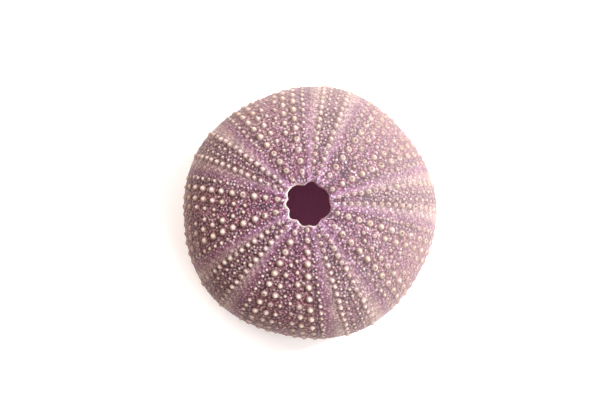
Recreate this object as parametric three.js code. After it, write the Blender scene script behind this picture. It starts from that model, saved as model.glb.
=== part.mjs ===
// Bare test (shell) of a regular sea urchin, resting mouth side down.
// Millimetres, +Z up, the axis of five-fold symmetry on Z, the resting plane at z = 0.
// The outside follows the tips of the tubercles, the inside follows the smooth inner wall.
import * as THREE from "three";

// Driving dimensions of the whole test
const GIRDLE_RADIUS = 25; // widest place, measured over the tubercles
const GIRDLE_HEIGHT = 10.6; // height of the widest place above the resting plane
const DOME_RISE = 15.2; // from the widest place up to the (missing) crown
const DOME_FULLNESS = 2.06; // superellipse exponent of the upper side
const BASE_DROP = 11.8; // from the widest place down to the pole of the lower side
const BASE_FULLNESS = 2.5; // superellipse exponent of the lower side
const WALL = 1.5; // plate and tubercle together

// Apical opening, where the small plates at the crown have fallen out
const APICAL_RADIUS = 4.45;
const APICAL_BEVEL = 0.12; // the broken edge is rounded over by this much
const APICAL_LIP_REACH = 2.4; // distance over which the lobes fade into the dome
// Lobes where plates stand into the opening, as [direction in degrees, reach, half width in degrees]
const APICAL_LOBES = [
  [6, 0.5, 12],
  [28, 0.15, 9],
  [58, 0.6, 17],
  [103, 0.75, 15],
  [167, 0.5, 9],
  [198, 0.65, 12],
  [236, 0.7, 12],
  [273, 0.3, 9],
  [310, 0.6, 15],
];

// Mouth opening (peristome) on the underside
const MOUTH_RADIUS = 9.6;
const MOUTH_LIP_RISE = 1.1; // the edge turns up into the test by this much
const GILL_NOTCH_DEPTH = 0.7;
const GILL_NOTCH_WIDTH = 3.2; // half width of one notch, degrees
const GILL_NOTCH_OFFSET = 13; // from the middle of an ambulacrum, degrees
const GILL_NOTCH_REACH = 1.6; // distance over which a notch fades out

// Flat ring that the test rests on
const REST_INNER_RADIUS = 11.6;

// Five-fold plan
const RAYS = 5;
const RAY_STEP = 360 / RAYS;
const AMBULACRUM_ANGLE = 5; // middle of the first ambulacrum, anticlockwise from +X
const RAY_SWELL = 0.013; // the ambulacra bulge by this share of the radius
const TRIAD_SWELL = 0.003; // slight three-sided unevenness of this test
const TRIAD_ANGLE = -46;

// Fineness of the faceted solid
const COLUMNS = 100;
const DOME_STEPS = 11;
const BASE_STEPS = 6;
const LIP_STEPS = 3;

const radians = THREE.MathUtils.degToRad;
const smooth = THREE.MathUtils.smoothstep;

// A point of a quarter superellipse, from its pole (angle 0) to its widest place (angle 90 degrees)
function quarter(semiRadius, semiHeight, fullness, angle) {
  const power = 2 / fullness;
  return {
    radius: semiRadius * Math.sin(angle) ** power,
    rise: semiHeight * Math.cos(angle) ** power,
  };
}

function angleAtRadius(semiRadius, fullness, radius) {
  return Math.asin((radius / semiRadius) ** (fullness / 2));
}

function angleAtRise(semiHeight, fullness, rise) {
  return Math.acos((rise / semiHeight) ** (fullness / 2));
}

// The edge of the mouth turns up inside the resting ring, on the outside and the inside alike
function mouthLift(radius) {
  return MOUTH_LIP_RISE * (1 - smooth(radius, MOUTH_RADIUS, REST_INNER_RADIUS));
}

// Upper side, from the apical opening down to the widest place
function domeLine(inset) {
  const semiRadius = GIRDLE_RADIUS - inset;
  const first = angleAtRadius(semiRadius, DOME_FULLNESS, APICAL_RADIUS);
  const points = [];
  for (let i = 0; i <= DOME_STEPS; i += 1) {
    const angle = THREE.MathUtils.lerp(first, Math.PI / 2, i / DOME_STEPS);
    const { radius, rise } = quarter(semiRadius, DOME_RISE - inset, DOME_FULLNESS, angle);
    points.push(new THREE.Vector2(radius, GIRDLE_HEIGHT + rise));
  }
  return points;
}

// Lower side, from below the widest place in to the radius where it ends
function baseLine(inset, lastAngle) {
  const points = [];
  for (let i = 1; i <= BASE_STEPS; i += 1) {
    const angle = THREE.MathUtils.lerp(Math.PI / 2, lastAngle, i / BASE_STEPS);
    const { radius, rise } = quarter(GIRDLE_RADIUS - inset, BASE_DROP - inset, BASE_FULLNESS, angle);
    points.push(new THREE.Vector2(radius, GIRDLE_HEIGHT - rise));
  }
  return points;
}

// Outside: dome, lower side down to the flat resting ring, then the upturned edge of the mouth
function outerLine() {
  const points = domeLine(0);
  points.push(...baseLine(0, angleAtRise(BASE_DROP, BASE_FULLNESS, GIRDLE_HEIGHT)));
  for (let i = 0; i <= LIP_STEPS; i += 1) {
    const radius = THREE.MathUtils.lerp(REST_INNER_RADIUS, MOUTH_RADIUS, i / LIP_STEPS);
    points.push(new THREE.Vector2(radius, mouthLift(radius)));
  }
  return points;
}

// Inside: the same line one wall further in, in to the edge of the mouth
function innerLine() {
  const points = domeLine(WALL);
  const last = angleAtRadius(GIRDLE_RADIUS - WALL, BASE_FULLNESS, MOUTH_RADIUS);
  for (const point of baseLine(WALL, last)) {
    points.push(new THREE.Vector2(point.x, point.y + mouthLift(point.x)));
  }
  return points;
}

// The closed cut through the wall: up the outside, over the apical edge, down the inside to the mouth
function wallSection() {
  const outer = outerLine().reverse();
  const inner = innerLine();
  const apicalEdge = new THREE.Vector2(
    APICAL_RADIUS - APICAL_BEVEL,
    (outer[outer.length - 1].y + inner[0].y) / 2,
  );
  return [...outer, apicalEdge, ...inner, outer[0].clone()];
}

// Smallest turn from one direction to another, degrees
function turn(from, to) {
  return THREE.MathUtils.euclideanModulo(to - from + 180, 360) - 180;
}

function bump(distance, halfWidth) {
  return Math.exp(-((distance / halfWidth) ** 2));
}

// Plan outline of the widest place, as a factor of the radius
function planFactor(azimuth) {
  const ray = Math.cos(radians(RAYS * (azimuth - AMBULACRUM_ANGLE)));
  const triad = Math.cos(radians(3 * (azimuth - TRIAD_ANGLE)));
  return 1 + RAY_SWELL * ray + TRIAD_SWELL * triad;
}

// How far the lobes stand into the apical opening
function apicalLobes(azimuth) {
  let depth = 0;
  for (const [direction, reach, halfWidth] of APICAL_LOBES) {
    depth += reach * bump(turn(direction, azimuth), halfWidth);
  }
  return depth;
}

// How far the gill notches cut back the edge of the mouth, two to each ambulacrum
function gillNotch(azimuth) {
  let depth = 0;
  for (let ray = 0; ray < RAYS; ray += 1) {
    const middle = AMBULACRUM_ANGLE + RAY_STEP * ray;
    for (const side of [-GILL_NOTCH_OFFSET, GILL_NOTCH_OFFSET]) {
      depth += GILL_NOTCH_DEPTH * bump(turn(middle + side, azimuth), GILL_NOTCH_WIDTH);
    }
  }
  return depth;
}

// Radius of a point of the section once the plan, the lobes and the notches are applied
function shapedRadius(radius, height, azimuth) {
  if (height > GIRDLE_HEIGHT) {
    const fade = 1 - smooth(radius, APICAL_RADIUS, APICAL_RADIUS + APICAL_LIP_REACH);
    return radius * planFactor(azimuth) - fade * apicalLobes(azimuth);
  }
  const fade = 1 - smooth(radius, MOUTH_RADIUS, MOUTH_RADIUS + GILL_NOTCH_REACH);
  return radius * planFactor(azimuth) + fade * gillNotch(azimuth);
}

function testGeometry() {
  const geometry = new THREE.LatheGeometry(wallSection(), COLUMNS);
  geometry.rotateX(Math.PI / 2);
  const position = geometry.getAttribute("position");
  for (let i = 0; i < position.count; i += 1) {
    const x = position.getX(i);
    const y = position.getY(i);
    const radius = Math.hypot(x, y);
    const azimuth = THREE.MathUtils.radToDeg(Math.atan2(y, x));
    const factor = shapedRadius(radius, position.getZ(i), azimuth) / radius;
    position.setXY(i, x * factor, y * factor);
  }
  geometry.computeVertexNormals();
  return geometry;
}

// Stony calcite, mauve ground with cream tubercles, dull
const calcite = new THREE.MeshStandardMaterial({ color: 0xb08c94, roughness: 0.75, metalness: 0 });

const test = new THREE.Mesh(testGeometry(), calcite);
test.name = "test";

const seaUrchin = new THREE.Group();
seaUrchin.add(test);

export default seaUrchin;
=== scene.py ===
# A bare sea urchin test, mouth side down on a pale floor, seen from above.
import math
from collections import namedtuple

import bpy
import numpy as np
from mathutils import Matrix, Vector
from mathutils.geometry import delaunay_2d_cdt
from mathutils.kdtree import KDTree


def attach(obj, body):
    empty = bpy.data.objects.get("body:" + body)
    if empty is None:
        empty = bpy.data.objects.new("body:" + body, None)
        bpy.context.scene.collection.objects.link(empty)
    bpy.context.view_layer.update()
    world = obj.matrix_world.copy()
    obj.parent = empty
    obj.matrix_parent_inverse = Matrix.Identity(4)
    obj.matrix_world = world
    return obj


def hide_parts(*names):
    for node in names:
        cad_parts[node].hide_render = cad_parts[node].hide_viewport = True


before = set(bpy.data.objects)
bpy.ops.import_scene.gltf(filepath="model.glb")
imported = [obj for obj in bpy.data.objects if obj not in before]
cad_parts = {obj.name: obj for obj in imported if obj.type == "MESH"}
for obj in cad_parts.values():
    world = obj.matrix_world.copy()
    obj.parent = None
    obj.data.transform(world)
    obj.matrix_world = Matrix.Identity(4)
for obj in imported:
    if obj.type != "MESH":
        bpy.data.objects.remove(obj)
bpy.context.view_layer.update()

# Lengths are in millimetres, as in the CAD, and angles in degrees anticlockwise from +X.
# "s" is the way along a meridian of the test, from the edge of the apical opening down to the mouth.
# A pair of values that something fades over is where the fade begins and where it ends.
MM = 0.001
SEED = 5
rng = np.random.default_rng(SEED)

# The test's outside, over the tubercles
GIRDLE_RADIUS = 25.0
GIRDLE_HEIGHT = 10.6
DOME_RISE = 15.2
DOME_FULLNESS = 2.06
BASE_DROP = 11.8
BASE_FULLNESS = 2.5
REST_SOFTNESS = 0.1  # rounding where the lower side meets the resting plane
WALL = 1.5
PLATE_INSET = 0.45  # the plates lie this far inside the outside

# Apical opening and mouth opening
APICAL_RADIUS = 4.45
APICAL_BEVEL = 0.12
APICAL_LIP_REACH = 2.4
# Lobes where plates stand into the opening, as (direction, reach, half width in degrees)
APICAL_LOBES = (
    (6.0, 0.5, 12.0),
    (28.0, 0.15, 9.0),
    (58.0, 0.6, 17.0),
    (103.0, 0.75, 15.0),
    (167.0, 0.5, 9.0),
    (198.0, 0.65, 12.0),
    (236.0, 0.7, 12.0),
    (273.0, 0.3, 9.0),
    (310.0, 0.6, 15.0),
)
MOUTH_RADIUS = 9.6
MOUTH_LIP_RISE = 1.1
GILL_NOTCH_DEPTH = 0.7
GILL_NOTCH_WIDTH = 3.2
GILL_NOTCH_OFFSET = 13.0
GILL_NOTCH_REACH = 1.6
REST_INNER_RADIUS = 11.6

# Five-fold plan
RAYS = 5
RAY_STEP = 360.0 / RAYS
HALF_RAY = RAY_STEP / 2
AMBULACRUM_ANGLE = 5.0
RAY_SWELL = 0.013
TRIADS = 3
TRIAD_SWELL = 0.003
TRIAD_ANGLE = -46.0
RAY_BEND = 1.3  # the rays swing by up to this much towards one side
RAY_BEND_ANGLE = -12.0

# Plates are shorter at the crown and at the mouth
CROWN_CROWDING = 0.35
CROWN_CROWDING_LENGTH = 2.4
MOUTH_CROWDING = 0.4
MOUTH_CROWDING_START = 34.0
MOUTH_MARGIN = 1.0  # bare strip along the edge of the mouth

# Interambulacral tubercles: a row of them to each plate, the primary outermost
PLATE_STEP = 2.3
PRIMARY_RADIUS = 0.88
PRIMARY_SIZES = (0.93, 1.05)  # least and largest share of that radius
PRIMARY_GROWTH = (0.0, 4.5)  # they grow to full size over this way down
PRIMARY_AT_CROWN = 0.7  # share of the full size that they begin with
PRIMARY_SHRINKING = (14.0, 26.0)  # they are smaller again on the flank
PRIMARY_ON_FLANK = 0.86  # share of the full size that is left there
PRIMARY_FIRST = 0.5  # none stands nearer the apical edge
PRIMARY_STRAY = 0.06
PRIMARY_OFFSET = 11.1  # from the interambulacrum's middle, at the crown
PRIMARY_OFFSET_GROWTH = 0.16  # degrees more for each millimetre down to the girdle
PRIMARY_OFFSET_END = 27.0
PRIMARY_STARTS = (9.6, 11.0, 10.6, 9.7, 10.4, 10.7, 10.3, 9.3, 11.0, 10.1)  # one place in each column
ROW_SPACINGS = (2.1, 1.8, 1.6)  # from the primary inwards to the next tubercles of its row
ROW_RADII = (0.8, 0.74, 0.66)
ROW_SIZES = (0.92, 1.07)
ROW_RISE = 0.35  # each of them lies a little nearer the crown
ROW_FIRST = 1.0
ROW_STRAY = 0.08
ROW_CLEARANCE = 0.25  # from the interambulacrum's middle
ROW_GROWTH = (0.3, 2.0)  # they are smaller near the interambulacrum's middle
ROW_AT_MIDDLE = 0.65  # share of the full size that they have there

# Ambulacral, adradial and inner tubercles stand in columns of their own
# Each column begins at s = first, with tubercles of a small share of the size that they have from s = grown
Growth = namedtuple("Growth", "small first grown")
AMBULACRAL_STEP = 1.5
AMBULACRAL_OFFSET = 6.0
AMBULACRAL_RADIUS = 0.67
AMBULACRAL_STARTS = (9.3, 8.6, 8.7, 9.4, 9.4, 8.3, 9.2, 10.0, 9.0, 9.6)
AMBULACRAL_GROWTH = Growth(small=0.7, first=1.2, grown=6.0)
ADRADIAL_OFFSET = 16.8
ADRADIAL_RADIUS = 0.54
ADRADIAL_STARTS = (9.5, 8.8)
ADRADIAL_GROWTH = Growth(small=0.5, first=3.5, grown=17.0)
INNER_OFFSET = 2.1
INNER_RADIUS = 0.42
INNER_STARTS = (9.7, 9.0)
INNER_GROWTH = Growth(small=0.7, first=7.0, grown=16.0)
COLUMN_SIZES = (0.9, 1.1)
COLUMN_STRAY_ACROSS = 0.06
COLUMN_STRAY_ALONG = 0.05
OVERLAP_SHARE = 0.8  # two features may come as near as this share of their radii together

# Pore pairs, in an arc on each ambulacral plate
PORE_ZONE = (7.8, 12.8)
PAIRS_PER_PLATE = 3
PAIRS_BENEATH = 2
ARC_LENGTH = 0.8  # share of a plate that the arc takes
ARC_START = 0.15  # share of the zone's width
ARC_HALF_WIDTH = 0.35
PORE_FIRST = 1.2
PORE_RADIUS = 0.19
PORE_GAP = 0.5
PORE_GAP_LIMIT = 0.3  # share of the zone's width
PORE_RADIUS_LIMIT = 0.36  # share of the gap
PAIR_SLANT = 0.15

# Granules between the tubercles, and the points of the bare ground
# Room is how far they keep from what stands there, and sizes are the least and largest share of the radius
Scatter = namedtuple("Scatter", "spacing room tries radius sizes", defaults=(None, None))
GRANULES = Scatter(spacing=0.56, room=0.168, tries=60000, radius=0.24, sizes=(0.6, 1.2))
PORE_GRAINS = Scatter(spacing=0.4, room=0.095, tries=40000, radius=0.19, sizes=(0.8, 1.2))
UNDERSIDE_GRAINS = Scatter(spacing=0.95, room=0.225, tries=12000, radius=0.25, sizes=(0.7, 1.1))
GROUND = Scatter(spacing=0.5, room=0.12, tries=60000)
GRANULE_MARGIN = 0.3  # from the apical edge
GROUND_MARGIN = 0.25
GROUND_MOUTH_MARGIN = 0.3
UNDERSIDE_START = 31.0  # past here the mesh is coarser
NEAREST_ASKED = 8  # features that a scattered place is tested against

# Pits in the worn tips of tubercles, darkened with painted shade: most of those on one side have one, and
# those near the crown
PITTED_MIDDLE = 5.0
PITTED_REACH = (45.0, 80.0)  # turns away from the middle
PITTED_SHARE = 0.85
CROWN_PITS_REACH = (3.0, 7.0)
CROWN_PITS_SHARE = 0.75
CROWN_PITS_FURTHER = 2.5  # the pits of the crown go further down round this direction
CROWN_PITS_MIDDLE = 35.0
CROWN_PITS_TURN = (75.0, 115.0)
STRAY_PITS_SHARE = 0.08
PITS_END = (24.0, 30.0)
PIT_STRENGTHS = (0.6, 1.0)
PIT_REACH = (0.12, 0.46)  # in shares of a tubercle's radius, as are the depth and the stray
PIT_DEPTH = 0.4
PIT_STRAY = 0.08

# Relief is weaker on the worn flank; the painted shade of the dark rings is weaker there too, most on the lit
# side with the painted haze
FLANK_REACH = (16.0, 26.0)
FLANK_RELIEF_LOSS = 0.5
BENEATH_REACH = (30.0, 34.0)
BENEATH_RELIEF_LOSS = 0.69  # share of the flank's loss that is left beneath
LIT_SIDE_WAY = 32.0  # the side that the light comes from; its flank has a painted pale haze of light
LIT_SIDE_TURN = (90.0, 150.0)
FAR_SIDE_FADING = 0.4
FAINT_REACH = (8.0, 20.0)
FAINTNESS = 0.45

# The broken edge of the apical opening is white, with a painted highlight that makes it whitest on the side
# whose edge faces the light
EDGE_HIGHLIGHT_MIDDLE = 200.0
EDGE_HIGHLIGHT_TURN = (75.0, 115.0)
WHITE_EDGE_LEAST = 0.25
OUTER_EDGE_WHITE = 0.35  # share of the white that the outside's own edge has

# Fineness of the lining, of the curves that places are read from, and of slopes
RIM_COLUMNS = 180
LINING_ROWS = 16
MERIDIAN_STEPS = 1500
COLUMN_SAMPLES = 2000
SLOPE_STEP = 0.02
SLOPE_TURN = 0.05
MAP_TOLERANCE = 1e-9
RIM = np.arange(RIM_COLUMNS) * (360.0 / RIM_COLUMNS)


def smoothstep(x, low, high):
    t = np.clip((np.asarray(x, float) - low) / (high - low), 0.0, 1.0)
    return t * t * (3.0 - 2.0 * t)


def fade(x, reach, start, end):
    """A value that goes smoothly from start to end while x goes over a reach."""
    return start + (end - start) * smoothstep(x, *reach)


def turn(start, end):
    """Smallest turn from one direction to another."""
    return (np.asarray(end, float) - start + 180.0) % 360.0 - 180.0


def bell(distance, half_width):
    return np.exp(-((distance / half_width) ** 2))


def ray_middle(column):
    """Middle of the ambulacrum that a column of tubercles belongs to, two columns to each."""
    return AMBULACRUM_ANGLE + RAY_STEP * (column // 2)


def column_side(column):
    return -1 if column % 2 == 0 else 1


def bend(azimuth):
    return RAY_BEND * np.cos(np.radians(azimuth - RAY_BEND_ANGLE))


def bent(azimuth):
    """Where a column of an even five-fold plan lies on this test."""
    return azimuth + bend(azimuth)


def half_sector(azimuth):
    """Angle from the middle of the nearest ambulacrum, from 0 to half a ray."""
    even = np.asarray(azimuth) - bend(azimuth)
    return np.abs((even - AMBULACRUM_ANGLE + HALF_RAY) % RAY_STEP - HALF_RAY)


def in_pore_zone(azimuth):
    low, high = PORE_ZONE
    return low < half_sector(azimuth) < high


# The surface of the test

def plan_factor(azimuth):
    ray = np.cos(np.radians(RAYS * (azimuth - AMBULACRUM_ANGLE)))
    triad = np.cos(np.radians(TRIADS * (azimuth - TRIAD_ANGLE)))
    return 1 + RAY_SWELL * ray + TRIAD_SWELL * triad


def apical_lobes(azimuth):
    """How far the plates stand into the apical opening."""
    depth = 0.0
    for direction, reach, half_width in APICAL_LOBES:
        depth = depth + reach * bell(turn(direction, azimuth), half_width)
    return depth


def gill_notch(azimuth):
    """How far the gill notches cut back the edge of the mouth."""
    depth = 0.0
    for column in range(2 * RAYS):
        middle = ray_middle(column) + column_side(column) * GILL_NOTCH_OFFSET
        depth = depth + GILL_NOTCH_DEPTH * bell(turn(middle, azimuth), GILL_NOTCH_WIDTH)
    return depth


def quarter(semi_radius, semi_height, fullness, angle):
    """A quarter superellipse, from its pole (angle 0) to its widest place."""
    power = 2 / fullness
    return semi_radius * np.sin(angle) ** power, semi_height * np.cos(angle).clip(0) ** power


def around_axis(radius, azimuth, height):
    way = np.radians(azimuth)
    return np.stack([radius * np.cos(way), radius * np.sin(way), height], axis=-1)


class Surface:
    """The outside of the test, or a surface further in by an inset, in terms of s and azimuth."""

    def __init__(self, inset):
        semi = GIRDLE_RADIUS - inset
        first = math.asin((APICAL_RADIUS / semi) ** (DOME_FULLNESS / 2))
        last = math.asin((MOUTH_RADIUS / semi) ** (BASE_FULLNESS / 2))
        down = np.linspace(first, math.pi / 2, MERIDIAN_STEPS)
        back = np.linspace(math.pi / 2, last, MERIDIAN_STEPS)[1:]
        dome_radius, dome_rise = quarter(semi, DOME_RISE - inset, DOME_FULLNESS, down)
        base_radius, base_drop = quarter(semi, BASE_DROP - inset, BASE_FULLNESS, back)
        above_rest = GIRDLE_HEIGHT - base_drop - inset
        base_height = inset + 0.5 * (above_rest + np.hypot(above_rest, REST_SOFTNESS))
        lip = fade(base_radius, (MOUTH_RADIUS, REST_INNER_RADIUS), MOUTH_LIP_RISE, 0.0)
        self.radius = np.concatenate([dome_radius, base_radius])
        self.height = np.concatenate([GIRDLE_HEIGHT + dome_rise, base_height + lip])
        step = np.hypot(np.diff(self.radius), np.diff(self.height))
        middle = 0.5 * (self.radius[1:] + self.radius[:-1])
        self.length = np.concatenate([[0.0], np.cumsum(step)])
        self.growth = np.concatenate([[0.0], np.cumsum(step / middle)])
        self.end = self.length[-1]

    def radius_at(self, s):
        return np.interp(s, self.length, self.radius)

    def ring(self, s):
        """Radius that s has on an angle-true flat map, where the apical edge has radius 1."""
        return np.exp(np.interp(s, self.length, self.growth))

    def to_map(self, s, azimuth):
        return self.ring(s) * np.exp(1j * np.radians(azimuth))

    def from_map(self, spot):
        return np.interp(np.log(np.abs(spot)), self.growth, self.length), np.degrees(np.angle(spot))

    def points(self, s, azimuth):
        radius = self.radius_at(s)
        height = np.interp(s, self.length, self.height)
        crown_fade = fade(radius, (APICAL_RADIUS, APICAL_RADIUS + APICAL_LIP_REACH), 1.0, 0.0)
        mouth_fade = fade(radius, (MOUTH_RADIUS, MOUTH_RADIUS + GILL_NOTCH_REACH), 1.0, 0.0)
        lobes = -crown_fade * apical_lobes(azimuth)
        notches = mouth_fade * gill_notch(azimuth)
        shaped = radius * plan_factor(azimuth) + np.where(height > GIRDLE_HEIGHT, lobes, notches)
        return around_axis(shaped, azimuth, height)

    def normals(self, s, azimuth):
        along = self.points(s + SLOPE_STEP, azimuth) - self.points(s - SLOPE_STEP, azimuth)
        across = self.points(s, azimuth + SLOPE_TURN) - self.points(s, azimuth - SLOPE_TURN)
        normal = np.cross(along, across)
        return normal / np.linalg.norm(normal, axis=-1, keepdims=True)


plates = Surface(PLATE_INSET)
lining = Surface(WALL)


# What stands on the plates

class Crowd:
    """Tubercles, granules and pores, each with its place, radius, tone and pit."""

    def __init__(self):
        self.kind, self.s, self.azimuth, self.radius = [], [], [], []
        self.tone, self.pit, self.pit_spot = [], [], []

    def add(self, kind, s, azimuth, radius, pit=0.0):
        self.kind.append(kind)
        self.s.append(float(s))
        self.azimuth.append(float(azimuth))
        self.radius.append(float(radius))
        self.tone.append(rng.random())
        self.pit.append(pit)
        self.pit_spot.append(complex(*rng.normal(0.0, PIT_STRAY, 2)))

    def places(self):
        return plates.points(np.array(self.s), np.array(self.azimuth))

    def tree(self):
        tree = KDTree(len(self.s))
        for i, place in enumerate(self.places().tolist()):
            tree.insert(place, i)
        tree.balance()
        return tree

    def without_overlaps(self):
        """The same crowd without what would stand on something added before it."""
        tree = self.tree()
        kept = Crowd()
        lost = set()
        for i, place in enumerate(self.places().tolist()):
            for _, j, distance in tree.find_range(place, self.radius[i] + PRIMARY_RADIUS):
                near = distance < OVERLAP_SHARE * (self.radius[i] + self.radius[j])
                if j < i and j not in lost and near:
                    lost.add(i)
                    break
        for name, values in vars(self).items():
            setattr(kept, name, [value for i, value in enumerate(values) if i not in lost])
        return kept


def column_places(step, start):
    """Places a step apart down a column, one of them at start."""
    s = np.linspace(0, plates.end, COLUMN_SAMPLES)
    share = 1 - CROWN_CROWDING * np.exp(-s / CROWN_CROWDING_LENGTH)
    share = share * fade(s, (MOUTH_CROWDING_START, plates.end), 1.0, 1 - MOUTH_CROWDING)
    count = np.cumsum(np.gradient(s) / (step * share))
    first = np.interp(start, s, count) % 1.0
    return np.interp(np.arange(first, count[-1], 1.0), count, s)


def pit_depth(s, azimuth):
    """How deep a tubercle's worn tip is pitted, from 0 to 1, by chance; the pit's painted shade grows with
    it.
    """
    on_pitted_side = fade(abs(turn(PITTED_MIDDLE, azimuth)), PITTED_REACH, PITTED_SHARE, 0.0)
    further = fade(abs(turn(CROWN_PITS_MIDDLE, azimuth)), CROWN_PITS_TURN, CROWN_PITS_FURTHER, 0.0)
    near_crown = fade(s - further, CROWN_PITS_REACH, CROWN_PITS_SHARE, 0.0)
    chance = max(on_pitted_side, near_crown, STRAY_PITS_SHARE) * fade(s, PITS_END, 1.0, 0.0)
    return rng.uniform(*PIT_STRENGTHS) if rng.random() < chance else 0.0


def add_interambulacra(crowd):
    for column in range(2 * RAYS):
        middle = ray_middle(column) + HALF_RAY
        side = column_side(column)
        for s in column_places(PLATE_STEP, PRIMARY_STARTS[column]):
            offset = PRIMARY_OFFSET + PRIMARY_OFFSET_GROWTH * min(s, PRIMARY_OFFSET_END)
            radius = PRIMARY_RADIUS * rng.uniform(*PRIMARY_SIZES)
            radius = radius * fade(s, PRIMARY_GROWTH, PRIMARY_AT_CROWN, 1.0)
            radius = radius * fade(s, PRIMARY_SHRINKING, 1.0, PRIMARY_ON_FLANK)
            if s > plates.end - MOUTH_MARGIN:
                break
            if s > PRIMARY_FIRST:
                angle = bent(middle + side * offset)
                crowd.add("primary", s + rng.normal(0.0, PRIMARY_STRAY), angle, radius, pit_depth(s, angle))
            add_row(crowd, middle, side, s, math.radians(offset) * plates.radius_at(s))


def add_row(crowd, middle, side, s, lateral):
    """The tubercles inside a primary that stands at s, so far from the interambulacrum's middle."""
    for spacing, full_radius in zip(ROW_SPACINGS, ROW_RADII):
        lateral -= spacing
        s -= ROW_RISE
        if lateral < ROW_CLEARANCE or s < ROW_FIRST:
            break
        radius = full_radius * fade(lateral, ROW_GROWTH, ROW_AT_MIDDLE, 1.0) * rng.uniform(*ROW_SIZES)
        angle = bent(middle + side * math.degrees(lateral / plates.radius_at(s)))
        crowd.add("tubercle", s + rng.normal(0.0, ROW_STRAY), angle, radius, pit_depth(s, angle))


def add_columns(crowd, kind, starts, offset, full_radius, growth):
    """A column of like tubercles on either side of each ambulacrum, small at first and then full grown."""
    for column in range(2 * RAYS):
        for s in column_places(AMBULACRAL_STEP, starts[column % len(starts)]):
            if s < growth.first or s > plates.end - MOUTH_MARGIN:
                continue
            stray = math.degrees(rng.normal(0.0, COLUMN_STRAY_ACROSS) / plates.radius_at(s))
            angle = bent(ray_middle(column) + column_side(column) * (offset + stray))
            size = fade(s, (growth.first, growth.grown), growth.small, 1.0)
            radius = full_radius * size * rng.uniform(*COLUMN_SIZES)
            crowd.add(kind, s + rng.normal(0.0, COLUMN_STRAY_ALONG), angle, radius, pit_depth(s, angle))


def add_pores(crowd):
    """Arcs of pore pairs between the ambulacral and the adradial tubercles."""
    low, high = PORE_ZONE
    for column in range(2 * RAYS):
        for s in column_places(AMBULACRAL_STEP, AMBULACRAL_STARTS[column]):
            pairs = PAIRS_PER_PLATE if s < UNDERSIDE_START else PAIRS_BENEATH
            for along in np.linspace(0.0, 1.0, pairs):
                place = s + AMBULACRAL_STEP * (along - 0.5) * ARC_LENGTH
                if place < PORE_FIRST or place > plates.end - MOUTH_MARGIN:
                    continue
                across = plates.radius_at(place)
                gap = min(PORE_GAP, PORE_GAP_LIMIT * math.radians(high - low) * across)
                radius = min(PORE_RADIUS, PORE_RADIUS_LIMIT * gap)
                angle = low + (high - low) * (ARC_START + ARC_HALF_WIDTH * (1 - math.cos(math.pi * along)))
                for end in (-0.5, 0.5):
                    out = angle + math.degrees(end * gap / across)
                    azimuth = bent(ray_middle(column) + column_side(column) * out)
                    crowd.add("pore", place + PAIR_SLANT * end, azimuth, radius)


def neighbours(cell):
    x, y, z = cell
    for dx in (-1, 0, 1):
        for dy in (-1, 0, 1):
            for dz in (-1, 0, 1):
                yield (x + dx, y + dy, z + dz)


def scattered(scatter, crowd, start, end):
    """Places spread over the free ground between start and end, clear of the crowd and of each other."""
    weight = np.cumsum(plates.radius * np.gradient(plates.length))
    s = np.interp(rng.random(scatter.tries) * weight[-1], weight, plates.length)
    azimuth = rng.uniform(-180.0, 180.0, scatter.tries)
    wanted = (s > start) & (s < end)
    s, azimuth = s[wanted], azimuth[wanted]
    tree = crowd.tree()
    cells = {}
    chosen = []
    for i, place in enumerate(plates.points(s, azimuth).tolist()):
        nearest = tree.find_n(place, NEAREST_ASKED)
        if any(distance < crowd.radius[j] + scatter.room for _, j, distance in nearest):
            continue
        home = tuple(int(c // scatter.spacing) for c in place)
        taken = (other for cell in neighbours(home) for other in cells.get(cell, ()))
        if all(math.dist(place, other) >= scatter.spacing for other in taken):
            cells.setdefault(home, []).append(place)
            chosen.append(i)
    return s[chosen], azimuth[chosen]


def add_granules(crowd):
    for s, azimuth in zip(*scattered(GRANULES, crowd, GRANULE_MARGIN, UNDERSIDE_START)):
        if not in_pore_zone(azimuth):
            crowd.add("granule", s, azimuth, GRANULES.radius * rng.uniform(*GRANULES.sizes))
    for s, azimuth in zip(*scattered(PORE_GRAINS, crowd, GRANULE_MARGIN, UNDERSIDE_START)):
        if in_pore_zone(azimuth):
            crowd.add("grain", s, azimuth, PORE_GRAINS.radius * rng.uniform(*PORE_GRAINS.sizes))
    end = plates.end - MOUTH_MARGIN / 2
    for s, azimuth in zip(*scattered(UNDERSIDE_GRAINS, crowd, UNDERSIDE_START, end)):
        crowd.add("grain", s, azimuth, UNDERSIDE_GRAINS.radius * rng.uniform(*UNDERSIDE_GRAINS.sizes))


def populate():
    crowd = Crowd()
    add_interambulacra(crowd)
    add_columns(crowd, "tubercle", AMBULACRAL_STARTS, AMBULACRAL_OFFSET, AMBULACRAL_RADIUS, AMBULACRAL_GROWTH)
    add_columns(crowd, "tubercle", ADRADIAL_STARTS, ADRADIAL_OFFSET, ADRADIAL_RADIUS, ADRADIAL_GROWTH)
    add_columns(crowd, "knob", INNER_STARTS, INNER_OFFSET, INNER_RADIUS, INNER_GROWTH)
    add_pores(crowd)
    crowd = crowd.without_overlaps()
    add_granules(crowd)
    return crowd


# The shape and the colour marks of each kind, by the share f of its radius

TUBERCLE_RISE = 0.9  # heights and depths are shares of the radius
GRANULE_RISE = 0.7
GRAIN_RISE = 0.5
PORE_DEPTH = 0.6
BEAD = 0.56  # share of a tubercle's radius that the bead takes
BEAD_EDGE = (0.52, 0.62)
BEAD_ROUNDNESS = 0.75
BOSS_HEIGHT = 0.28  # share of a tubercle's height that is under the bead
BOSS_FOOT = 0.95
BOSS_PALENESS = 0.22
BOSS_PALE_REACH = (0.61, 0.95)
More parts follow.
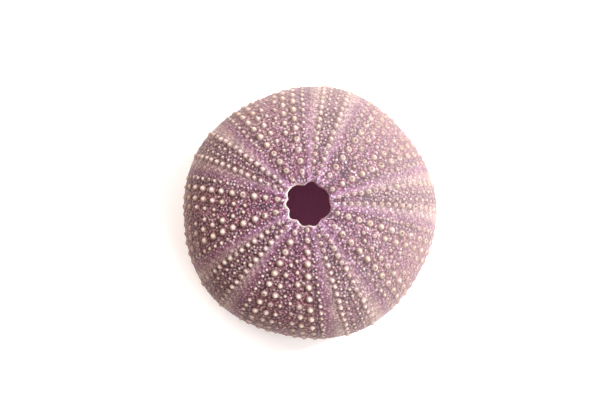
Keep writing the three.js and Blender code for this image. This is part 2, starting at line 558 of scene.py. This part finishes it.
# Painted shade: a dark ring round the foot of each tubercle
AREOLE_PAINTED_SHADE = 0.65
AREOLE_MIDDLE = 0.88
AREOLE_WIDTH = 0.13
GRANULE_PALE_REACH = (0.5, 1.0)
GRANULE_PALENESS = 0.9
GRAIN_PALENESS = 0.4
PORE_PALENESS = 0.2
# Painted shade in each pore, darkest in its middle
PORE_PAINTED_SHADE = 0.8
PORE_LIGHTENING = 0.4  # share of the painted shade lost at the pore's edge


def tubercle_height(f):
    boss = fade(f, (BEAD, BOSS_FOOT), BOSS_HEIGHT, 0.0)
    bead = (1 - BOSS_HEIGHT) * max(0.0, 1 - (f / BEAD) ** 2) ** BEAD_ROUNDNESS
    return boss + bead


def tubercle_cream(f):
    return fade(f, BEAD_EDGE, 1.0, 0.0)


def tubercle_pale(f):
    return fade(f, BOSS_PALE_REACH, BOSS_PALENESS, 0.0)


# Painted shade in the ring round the tubercle's foot
def tubercle_painted_shade(f):
    return AREOLE_PAINTED_SHADE * bell(f - AREOLE_MIDDLE, AREOLE_WIDTH)


def granule_height(f):
    return 1 - f * f


def granule_pale(f):
    return fade(f, GRANULE_PALE_REACH, GRANULE_PALENESS, 0.0)


def grain_pale(f):
    return fade(f, GRANULE_PALE_REACH, GRAIN_PALENESS, 0.0)


def pore_height(f):
    return f - 1.0


def pore_pale(f):
    return PORE_PALENESS * f


# Painted shade in the pore's hollow
def pore_painted_shade(f):
    return PORE_PAINTED_SHADE * (1 - PORE_LIGHTENING * f)


def nowhere(f):
    return 0.0


class Kind:
    """Shape of a kind of feature. Rings are (share of radius, vertices), on the dome and beneath."""

    def __init__(self, rise, height, cream, pale, painted_shade, rings, coarse_rings):
        self.rise = rise
        self.height = height
        self.cream = cream
        self.pale = pale
        # how much painted shade each ring of the kind has
        self.painted_shade = painted_shade
        self.rings = rings
        self.coarse_rings = coarse_rings


TUBERCLE = (TUBERCLE_RISE, tubercle_height, tubercle_cream, tubercle_pale, tubercle_painted_shade)
GRANULE = (GRANULE_RISE, granule_height, nowhere, granule_pale, nowhere)
GRAIN = (GRAIN_RISE, granule_height, nowhere, grain_pale, nowhere)
PORE = (PORE_DEPTH, pore_height, nowhere, pore_pale, pore_painted_shade)
KINDS = {
    "primary": Kind(*TUBERCLE,
                    ((0.0, 1), (0.22, 7), (0.38, 8), (0.52, 10), (0.6, 10), (0.92, 10)),
                    ((0.0, 1), (0.34, 6), (0.55, 7), (0.9, 8))),
    "tubercle": Kind(*TUBERCLE,
                     ((0.0, 1), (0.23, 6), (0.44, 7), (0.58, 8), (0.92, 8)),
                     ((0.0, 1), (0.36, 5), (0.57, 6), (0.9, 6))),
    "knob": Kind(*TUBERCLE,
                 ((0.0, 1), (0.46, 6), (0.88, 7)),
                 ((0.0, 1), (0.46, 5), (0.85, 6))),
    "granule": Kind(*GRANULE,
                    ((0.0, 1), (0.6, 5), (1.0, 5)),
                    ((0.0, 1), (0.95, 5))),
    "grain": Kind(*GRAIN,
                  ((0.0, 1), (0.9, 5)),
                  ((0.0, 1), (0.9, 5))),
    "pore": Kind(*PORE,
                 ((0.0, 1), (0.8, 4)),
                 ((0.0, 1), (0.8, 4))),
}
# Marks: cream and pale colours of the features, painted shade of foot rings, pits and pores, and a chance
# tone
MARKS = ("cream", "pale", "painted_shade", "tone")
PLAIN_MARKS = (0.0, 0.0, 0.0, 0.5)
FACTS = ("s", "azimuth", "radius", "tone", "pit", "pit_spot")
GOLDEN_ANGLE = math.pi * (3 - math.sqrt(5))
EDGE_ROOM = 0.92  # a feature takes at most this share of the way to an edge of the map


def kind_points(kind, rings, s, azimuth, radius, tone, pit, pit_spot):
    """Map places, heights and marks of every vertex of the features of one kind."""
    middle = plates.to_map(s, azimuth)
    ring = np.abs(middle)
    room = EDGE_ROOM * np.minimum(ring - 1.0, plates.ring(plates.end) - ring)
    unit = np.minimum(radius * ring / plates.radius_at(s), room)
    radius = unit * plates.radius_at(s) / ring
    relief_loss = fade(s, FLANK_REACH, 0.0, FLANK_RELIEF_LOSS)
    relief_loss = relief_loss * fade(s, BENEATH_REACH, 1.0, BENEATH_RELIEF_LOSS)
    rise = radius * kind.rise * (1 - relief_loss)
    # The rings' and pores' painted shade fades on the flank, most on the lit side
    lit_side_fading = fade(abs(turn(LIT_SIDE_WAY, azimuth)), LIT_SIDE_TURN, 1.0, FAR_SIDE_FADING)
    ring_shade_kept = 1 - lit_side_fading * fade(s, FAINT_REACH, 0.0, FAINTNESS)
    spin = GOLDEN_ANGLE * np.arange(len(s))
    spots, heights, marks = [], [], []
    for i, (f, count) in enumerate(rings):
        around = 2 * math.pi * (np.arange(count) + 0.5 * (i % 2)) / count
        spokes = np.exp(1j * (around[None, :] + spin[:, None]))
        spots.append((middle[:, None] + f * unit[:, None] * spokes).ravel())
        # A pit sinks the tip and is darkened with painted shade
        pitted = pit[:, None] * fade(np.abs(f * spokes - pit_spot[:, None]), PIT_REACH, 1.0, 0.0)
        lift = rise[:, None] * kind.height(f) - radius[:, None] * PIT_DEPTH * pitted
        heights.append(lift.ravel())
        ones = np.ones(spokes.shape)
        # Painted shade of the foot rings and pores, and of the pits
        painted_shade = np.maximum(kind.painted_shade(f) * ring_shade_kept[:, None], pitted)
        mark = np.stack([kind.cream(f) * ones, kind.pale(f) * ones, painted_shade, tone[:, None] * ones], axis=-1)
        marks.append(mark.reshape(-1, len(MARKS)))
    return np.concatenate(spots), np.concatenate(heights), np.concatenate(marks)


def outside_points(crowd):
    """Map places, heights and marks of the whole outside, with the two edges first."""
    spots = [plates.to_map(0.0, RIM), plates.to_map(plates.end, RIM)]
    heights = [np.zeros(2 * RIM_COLUMNS)]
    marks = [np.tile(PLAIN_MARKS, (2 * RIM_COLUMNS, 1))]
    facts = [np.array(getattr(crowd, name)) for name in FACTS]
    kinds = np.array(crowd.kind)
    beneath = facts[0] > UNDERSIDE_START
    for name, kind in KINDS.items():
        for rings, where in ((kind.rings, ~beneath), (kind.coarse_rings, beneath)):
            mine = (kinds == name) & where
            spot, height, mark = kind_points(kind, rings, *(fact[mine] for fact in facts))
            spots.append(spot)
            heights.append(height)
            marks.append(mark)
    s, azimuth = scattered(GROUND, crowd, GROUND_MARGIN, plates.end - GROUND_MOUTH_MARGIN)
    spots.append(plates.to_map(s, azimuth))
    heights.append(np.zeros(len(s)))
    marks.append(np.tile(PLAIN_MARKS, (len(s), 1)))
    return np.concatenate(spots), np.concatenate(heights), np.concatenate(marks)


def triangulated(spots):
    """Triangles of the flat map, without those that would close the apical opening."""
    flat = [Vector((spot.real, spot.imag)) for spot in spots]
    corners, _, faces, *_ = delaunay_2d_cdt(flat, [], [], 0, MAP_TOLERANCE, False)
    assert len(corners) == len(spots)
    triangles = np.array(faces)
    closing = (triangles < RIM_COLUMNS).all(axis=1)
    return triangles[~closing]


def lining_rings(crown_height):
    """Rings of the apical edge and of the lining down to the mouth."""
    rows = [lining.points(np.full(RIM_COLUMNS, s), RIM) for s in np.linspace(0, lining.end, LINING_ROWS)]
    radius = (APICAL_RADIUS - APICAL_BEVEL) * plan_factor(RIM) - apical_lobes(RIM)
    height = np.full(RIM_COLUMNS, 0.5 * (crown_height + rows[0][0, 2]))
    return [around_axis(radius, RIM, height)] + rows


def build_mesh(crowd):
    spots, heights, marks = outside_points(crowd)
    s, azimuth = plates.from_map(spots)
    outside = plates.points(s, azimuth) + heights[:, None] * plates.normals(s, azimuth)
    rings = lining_rings(outside[0, 2])
    vertices = np.concatenate([outside] + rings)
    # The rings by vertex number, from the outside's apical edge over the lining to the outside's mouth edge
    ids = [np.arange(RIM_COLUMNS)]
    ids += [len(outside) + RIM_COLUMNS * i + np.arange(RIM_COLUMNS) for i in range(len(rings))]
    ids += [RIM_COLUMNS + np.arange(RIM_COLUMNS)]
    faces = triangulated(spots).tolist()
    for upper, lower in zip(ids[:-1], ids[1:]):
        faces += np.stack([upper, np.roll(upper, -1), np.roll(lower, -1), lower], axis=-1).tolist()
    mesh = bpy.data.meshes.new("test")
    mesh.from_pydata((vertices * MM).tolist(), [], faces)
    within = np.zeros(len(vertices) - len(outside))
    layers = {name: np.append(marks[:, i], within) for i, name in enumerate(MARKS)}
    layers["ray"] = np.append(half_sector(azimuth) / HALF_RAY, within)
    layers["down"] = np.append(s / plates.end, within)
    layers["inside"] = np.append(np.zeros(len(outside)), within + 1.0)
    layers["edge"] = np.zeros(len(vertices))
    # The edge's white, with a painted highlight where the edge faces the light
    white = fade(abs(turn(EDGE_HIGHLIGHT_MIDDLE, RIM)), EDGE_HIGHLIGHT_TURN, 1.0, WHITE_EDGE_LEAST)
    layers["edge"][ids[0]] = OUTER_EDGE_WHITE * white
    layers["edge"][ids[1]] = white
    for name, values in layers.items():
        attribute = mesh.attributes.new(name, "FLOAT", "POINT")
        attribute.data.foreach_set("value", values.astype(np.float32))
    mesh.shade_smooth()
    return mesh


# Materials

class Shader:
    """A Principled material and short ways to add nodes to it."""

    def __init__(self, name):
        self.material = bpy.data.materials.new(name)
        self.material.use_nodes = True
        self.tree = self.material.node_tree
        self.surface = self.tree.nodes["Principled BSDF"]

    def add(self, kind, inputs, **settings):
        node = self.tree.nodes.new("ShaderNode" + kind)
        for name, value in settings.items():
            setattr(node, name, value)
        for name, value in inputs.items():
            self.put(node.inputs[name], value)
        return node

    def put(self, socket, value):
        if isinstance(value, bpy.types.NodeSocket):
            self.tree.links.new(value, socket)
        else:
            socket.default_value = value

    def finish(self, **values):
        """Sets inputs of the surface, with _ for a space in their names."""
        for name, value in values.items():
            self.put(self.surface.inputs[name.replace("_", " ")], value)
        return self.material

    def mark(self, name):
        return self.add("Attribute", {}, attribute_name=name).outputs["Fac"]

    def math(self, operation, *values):
        return self.add("Math", dict(enumerate(values)), operation=operation).outputs[0]

    def times(self, first, second):
        return self.math("MULTIPLY", first, second)

    def mix(self, factor, low, high):
        return self.add("Mix", {0: factor, 6: low, 7: high}, data_type="RGBA").outputs[2]

    def product(self, first, second):
        return self.add("VectorMath", {0: first, 1: second}, operation="MULTIPLY").outputs[0]

    def scaled(self, vector, scale):
        return self.add("VectorMath", {0: vector, "Scale": scale}, operation="SCALE").outputs[0]

    def fade(self, value, reach, start=0.0, end=1.0):
        low, high = reach
        inputs = {"Value": value, "From Min": low, "From Max": high, "To Min": start, "To Max": end}
        return self.add("MapRange", inputs, interpolation_type="SMOOTHSTEP").outputs[0]

    def noise(self, place, scale, detail=2.0):
        inputs = {"Vector": place, "Scale": scale, "Detail": detail}
        return self.add("TexNoise", inputs).outputs["Fac"]

    def ramp(self, value, stops):
        node = self.add("ValToRGB", {"Fac": value})
        set_stops(node.color_ramp, stops)
        return node.outputs["Color"]


def set_stops(ramp, stops):
    while len(ramp.elements) < len(stops):
        ramp.elements.new(0.5)
    for element, (position, colour) in zip(ramp.elements, stops):
        element.position = position
        element.color = colour


def rgb(red, green, blue):
    return (red, green, blue, 1.0)


# Colours by the way across half a ray, from an ambulacrum's middle (0) to an interambulacrum's (1)
GROUND_BY_RAY = (
    (0.0, rgb(0.225, 0.118, 0.138)),
    (0.18, rgb(0.275, 0.163, 0.18)),
    (0.24, rgb(0.345, 0.253, 0.25)),
    (0.32, rgb(0.303, 0.205, 0.212)),
    (0.37, rgb(0.19, 0.092, 0.13)),
    (0.46, rgb(0.205, 0.105, 0.126)),
    (0.7, rgb(0.215, 0.103, 0.108)),
    (1.0, rgb(0.205, 0.092, 0.122)),
)
# The bands change the ground and the granules alike
BAND_BY_RAY = (
    (0.0, rgb(0.82, 0.76, 0.82)),
    (0.09, rgb(0.83, 0.81, 0.81)),
    (0.15, rgb(1.03, 1.06, 1.03)),
    (0.2, rgb(1.17, 1.24, 1.2)),
    (0.26, rgb(1.16, 1.18, 1.12)),
    (0.33, rgb(1.06, 1.03, 1.04)),
    (0.38, rgb(1.06, 0.98, 1.05)),
    (0.44, rgb(1.14, 1.14, 1.15)),
    (0.53, rgb(0.84, 0.79, 0.83)),
    (0.6, rgb(1.08, 1.1, 1.1)),
    (0.8, rgb(1.08, 1.08, 1.07)),
    (1.0, rgb(1.05, 0.99, 1.0)),
)
BAND_AT_CROWN = (
    (0.0, rgb(0.66, 0.58, 0.6)),
    (0.09, rgb(0.87, 0.87, 0.84)),
    (0.15, rgb(1.08, 1.15, 1.08)),
    (0.22, rgb(1.2, 1.28, 1.24)),
    (0.32, rgb(1.14, 1.12, 1.15)),
    (0.4, rgb(1.0, 0.93, 1.02)),
    (0.47, rgb(0.72, 0.58, 0.7)),
    (0.54, rgb(1.0, 0.97, 1.0)),
    (0.62, rgb(1.08, 1.1, 1.12)),
    (0.8, rgb(1.22, 1.27, 1.28)),
    (0.9, rgb(0.82, 0.76, 0.76)),
    (1.0, rgb(0.78, 0.72, 0.73)),
)
PORE_ZONE_INNER = (0.18, 0.24)
PORE_ZONE_OUTER = (0.42, 0.48)

# Tints by the way down, from the apical edge (0) to the mouth (1)
CROWN_BAND_END = (0.12, 0.2)
GROUND_TINT = (
    (0.0, rgb(0.98, 0.77, 1.12)),
    (0.25, rgb(1.0, 0.93, 0.99)),
    (0.55, rgb(1.03, 1.01, 0.82)),
    (1.0, rgb(1.15, 1.08, 0.95)),
)
BEAD_TINT = (
    (0.0, rgb(1.0, 0.97, 1.05)),
    (0.25, rgb(1.0, 1.0, 1.0)),
    (0.55, rgb(0.97, 0.89, 0.84)),
    (1.0, rgb(1.0, 0.9, 0.85)),
)
GRANULE_TINT = (
    (0.0, rgb(0.97, 0.95, 1.02)),
    (0.2, rgb(0.94, 0.93, 0.91)),
    (0.4, rgb(0.76, 0.69, 0.66)),
    (1.0, rgb(0.76, 0.69, 0.66)),
)

# Tones that single beads and granules have by chance
BEAD_TONES = (
    (0.0, rgb(0.365, 0.28, 0.23)),
    (0.35, rgb(0.4, 0.312, 0.258)),
    (1.0, rgb(0.4, 0.307, 0.29)),
)
GRANULE_TONES = (
    (0.0, rgb(0.24, 0.155, 0.18)),
    (0.5, rgb(0.37, 0.28, 0.31)),
    (0.8, rgb(0.425, 0.335, 0.355)),
    (1.0, rgb(0.51, 0.42, 0.42)),
)
# Maroon of the painted shade in pits, pores and the rings round tubercles
PIT_MAROON = rgb(0.08, 0.028, 0.026)
# White of the broken apical edge, also carrying its painted highlight
EDGE_WHITE = rgb(0.8, 0.7, 0.64)
LINING_PURPLE = rgb(0.3, 0.09, 0.17)

# Noise and specks, with scales for each millimetre and the shades that they give the ground
NOISE_REACH = (0.3, 0.7)
BROAD_SCALE = 0.35
BROAD_SHADES = (0.85, 1.15)
FINE_SCALE = 4.0
FINE_DETAIL = 3.0
FINE_SHADES = (0.75, 1.25)
WANDER_SCALE = 1.1
WANDER = 0.1  # the bands' edges wander over this share of half a ray
SPECK_SCALE = 2.9
SPECK_REACH = (0.2, 0.68)
SPECK_SHADES = (1.3, 0.18)
GROUND_BY_SPECK = (
    (0.3, rgb(1.0, 1.0, 1.0)),
    (0.65, rgb(0.92, 0.68, 0.88)),
)

# Specks are softer on the flank, most on the lit side with the painted haze, and between the pores, where the
# ground is smooth
SOFT_SHADE = 0.85
SOFT_FLANK_REACH = (0.15, 0.45)
SOFT_FLANK = 0.5
SOFT_FAR_SIDE = 0.35  # share of that softness on the side away from the light and its painted haze
SOFT_PORE_ZONE = 0.5

# Painted haze of light: a pale colour mixed over the ground towards the lit side, measured from the axis, and
# growing with the way down
LIT_SIDE_HAZE = rgb(0.335, 0.295, 0.31)
LIT_SIDE_REACH = (-0.8 * GIRDLE_RADIUS, 0.5 * GIRDLE_RADIUS)
PAINTED_HAZE_REACH = (0.05, 0.4)
PAINTED_HAZE = (0.08, 0.19)

# Stony gloss, and light that goes a little way into the calcite
ROUGHNESS = (0.5, 0.75)
BUMP_STRENGTH = 0.5
BUMP_HEIGHT = 0.06
CALCITE = {
    "Specular_IOR_Level": 0.18,
    "Sheen_Weight": 0.03,
    "Sheen_Roughness": 0.5,
    "Subsurface_Weight": 0.12,
    "Subsurface_Radius": (1.0, 0.4, 0.6),
    "Subsurface_Scale": 0.8 * MM,
}


# How far a place lies towards the lit side, where the pale haze of light is painted
def lit_side_share(shader, place):
    way = math.radians(LIT_SIDE_WAY)
    toward = (math.cos(way), math.sin(way), 0.0)
    distance = shader.add("VectorMath", {0: place, 1: toward}, operation="DOT_PRODUCT").outputs["Value"]
    return shader.fade(distance, LIT_SIDE_REACH)


def ground_shade(shader, speck, ray, down, lit_share):
    """The specks' lighter and darker tones, softened on the flank, most on the lit side with the painted
    haze, and between the pores.
    """
    shade = shader.fade(speck, SPECK_REACH, *SPECK_SHADES)
    softness = shader.math("MULTIPLY_ADD", lit_share, 1 - SOFT_FAR_SIDE, SOFT_FAR_SIDE)
    softness = shader.times(softness, shader.fade(down, SOFT_FLANK_REACH, 0.0, SOFT_FLANK))
    pore_zone = shader.times(shader.fade(ray, PORE_ZONE_INNER), shader.fade(ray, PORE_ZONE_OUTER, 1.0, 0.0))
    softness = shader.math("MAXIMUM", softness, shader.times(pore_zone, SOFT_PORE_ZONE))
    return shader.add("Mix", {0: softness, 2: shade, 3: SOFT_SHADE}).outputs[0]


def calcite():
    shader = Shader("calcite")
    object_place = shader.add("TexCoord", {}).outputs["Object"]
    place = shader.scaled(object_place, 1 / MM)
    broad = shader.noise(place, BROAD_SCALE)
    fine = shader.noise(place, FINE_SCALE, FINE_DETAIL)
    speck = shader.add("TexVoronoi", {"Vector": place, "Scale": SPECK_SCALE}).outputs["Distance"]
    tone = shader.mark("tone")
    down = shader.mark("down")
    wander = shader.math("MULTIPLY_ADD", shader.noise(place, WANDER_SCALE), WANDER, -WANDER / 2)
    ray = shader.math("ADD", shader.mark("ray"), wander)
    lit_share = lit_side_share(shader, place)

    lower = shader.fade(down, CROWN_BAND_END)
    band = shader.mix(lower, shader.ramp(ray, BAND_AT_CROWN), shader.ramp(ray, BAND_BY_RAY))
    ground = shader.product(shader.ramp(ray, GROUND_BY_RAY), shader.ramp(down, GROUND_TINT))
    ground = shader.product(ground, band)
    shade = ground_shade(shader, speck, ray, down, lit_share)
    shade = shader.times(shade, shader.fade(fine, NOISE_REACH, *FINE_SHADES))
    shade = shader.times(shade, shader.fade(broad, NOISE_REACH, *BROAD_SHADES))
    ground = shader.product(shader.scaled(ground, shade), shader.ramp(speck, GROUND_BY_SPECK))
    # Painted haze: the ground turns towards a pale colour that stands in for light on the lit side
    painted_haze = shader.times(lit_share, shader.fade(down, PAINTED_HAZE_REACH, *PAINTED_HAZE))
    granule = shader.product(shader.ramp(tone, GRANULE_TONES), shader.ramp(down, GRANULE_TINT))
    bead = shader.product(shader.ramp(tone, BEAD_TONES), shader.ramp(down, BEAD_TINT))

    colour = shader.mix(painted_haze, ground, LIT_SIDE_HAZE)
    colour = shader.mix(shader.mark("pale"), colour, shader.product(granule, band))
    colour = shader.mix(shader.mark("cream"), colour, bead)
    # Painted shade: the rings round tubercles, the pits and the pores turn maroon
    colour = shader.mix(shader.mark("painted_shade"), colour, PIT_MAROON)
    colour = shader.mix(shader.mark("inside"), colour, LINING_PURPLE)
    # The broken apical edge: white, and whiter still with a painted highlight where it faces the light
    colour = shader.mix(shader.mark("edge"), colour, EDGE_WHITE)
    roughness = shader.fade(fine, NOISE_REACH, *ROUGHNESS)
    bump = shader.add("Bump", {"Height": fine, "Strength": BUMP_STRENGTH, "Distance": BUMP_HEIGHT * MM})
    return shader.finish(Base_Color=colour, Roughness=roughness, Normal=bump.outputs[0], **CALCITE)


# Floor, light and camera

FLOOR_HALF_SIDE = 1500.0
FLOOR_WHITE = rgb(0.92, 0.92, 0.92)
FLOOR_ROUGHNESS = 0.9
# The floor glows, to be as pale as the photo's, but less near the test, where its shadow falls
GLOW_WHITE = rgb(0.985, 0.99, 0.99)
GLOW_MIDDLE = (-1.6, -2.2, 0.0)
GLOW_REACH = (12.0, 31.0)
GLOW = 0.56

LAMP_DISTANCE = 700.0
# Colours of the surroundings by the sine of the elevation: a pale backdrop, warm above it, dark overhead
SKY = (
    (0.0, rgb(0.92, 0.9, 0.89)),
    (0.08, rgb(0.92, 0.9, 0.89)),
    (0.11, rgb(0.37, 0.16, 0.105)),
    (0.55, rgb(0.37, 0.16, 0.105)),
    (0.95, rgb(0.02, 0.02, 0.02)),
)
CAMERA_SENSOR = 36.0
CAMERA_LENS = 100.0


def pale_floor():
    side = FLOOR_HALF_SIDE * MM
    mesh = bpy.data.meshes.new("floor")
    corners = [(-side, -side, 0), (side, -side, 0), (side, side, 0), (-side, side, 0)]
    mesh.from_pydata(corners, [], [(0, 1, 2, 3)])
    floor = bpy.data.objects.new("floor", mesh)
    bpy.context.scene.collection.objects.link(floor)
    shader = Shader("floor_white")
    place = shader.scaled(shader.add("TexCoord", {}).outputs["Object"], 1 / MM)
    distance = shader.add("VectorMath", {0: place, 1: GLOW_MIDDLE}, operation="DISTANCE").outputs["Value"]
    glow = shader.fade(distance, GLOW_REACH, 0.0, GLOW)
    mesh.materials.append(shader.finish(Base_Color=FLOOR_WHITE, Roughness=FLOOR_ROUGHNESS,
                                        Emission_Color=GLOW_WHITE, Emission_Strength=glow))


def inner_light(height, radius, power, colour):
    """Stands for the light that soaks through the thin wall, as the opening shows."""
    light = bpy.data.lights.new("inner", "POINT")
    light.shadow_soft_size = radius * MM
    light.energy = power
    light.color = colour
    lamp = bpy.data.objects.new("inner", light)
    lamp.location = (0.0, 0.0, height * MM)
    lamp.visible_camera = False
    bpy.context.scene.collection.objects.link(lamp)


def soft_light(name, azimuth, elevation, size, power, colour):
    light = bpy.data.lights.new(name, "AREA")
    light.shape = "DISK"
    light.size = size * MM
    light.energy = power
    light.color = colour
    lamp = bpy.data.objects.new(name, light)
    a, e = math.radians(azimuth), math.radians(elevation)
    toward = Vector((math.cos(e) * math.cos(a), math.cos(e) * math.sin(a), math.sin(e)))
    lamp.location = toward * LAMP_DISTANCE * MM
    lamp.rotation_euler = toward.to_track_quat("Z", "Y").to_euler()
    bpy.context.scene.collection.objects.link(lamp)


def studio_sky():
    world = bpy.data.worlds.new("studio")
    world.use_nodes = True
    nodes, links = world.node_tree.nodes, world.node_tree.links
    direction = nodes.new("ShaderNodeTexCoord")
    split = nodes.new("ShaderNodeSeparateXYZ")
    ramp = nodes.new("ShaderNodeValToRGB")
    set_stops(ramp.color_ramp, SKY)
    links.new(direction.outputs["Generated"], split.inputs[0])
    links.new(split.outputs["Z"], ramp.inputs["Fac"])
    links.new(ramp.outputs["Color"], nodes["Background"].inputs["Color"])
    bpy.context.scene.world = world
    bpy.context.scene.view_settings.view_transform = "Standard"


def photo_camera(aim, lean_front, lean_right, distance):
    """A camera over the crown, leaning off the vertical to the front (-Y) and to the right (+X)."""
    back = Vector((math.tan(math.radians(lean_right)), -math.tan(math.radians(lean_front)), 1.0)).normalized()
    up = back.cross(Vector((1.0, 0.0, 0.0))).normalized()
    across = up.cross(back)
    data = bpy.data.cameras.new("camera")
    data.sensor_width = CAMERA_SENSOR
    data.lens = CAMERA_LENS
    camera = bpy.data.objects.new("camera", data)
    camera.location = (Vector(aim) + back * distance) * MM
    camera.rotation_euler = Matrix((across, up, back)).transposed().to_euler()
    bpy.context.scene.collection.objects.link(camera)
    bpy.context.scene.camera = camera


test = bpy.data.objects.new("test_shell", build_mesh(populate()))
test.data.materials.append(calcite())
bpy.context.scene.collection.objects.link(test)
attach(test, "root")
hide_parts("test")

pale_floor()
soft_light("key", azimuth=25.0, elevation=48.0, size=260.0, power=12.9, colour=(0.89, 1.0, 0.98))
soft_light("front_fill", azimuth=330.0, elevation=46.0, size=600.0, power=3.4, colour=(0.93, 1.0, 1.0))
soft_light("back_fill", azimuth=126.0, elevation=40.0, size=600.0, power=3.4, colour=(1.0, 0.96, 0.88))
inner_light(height=15.0, radius=4.0, power=0.0007, colour=(1.0, 0.27, 0.55))
studio_sky()
photo_camera(aim=(-0.4, -0.1, 25.3), lean_front=6.85, lean_right=0.8, distance=316.0)
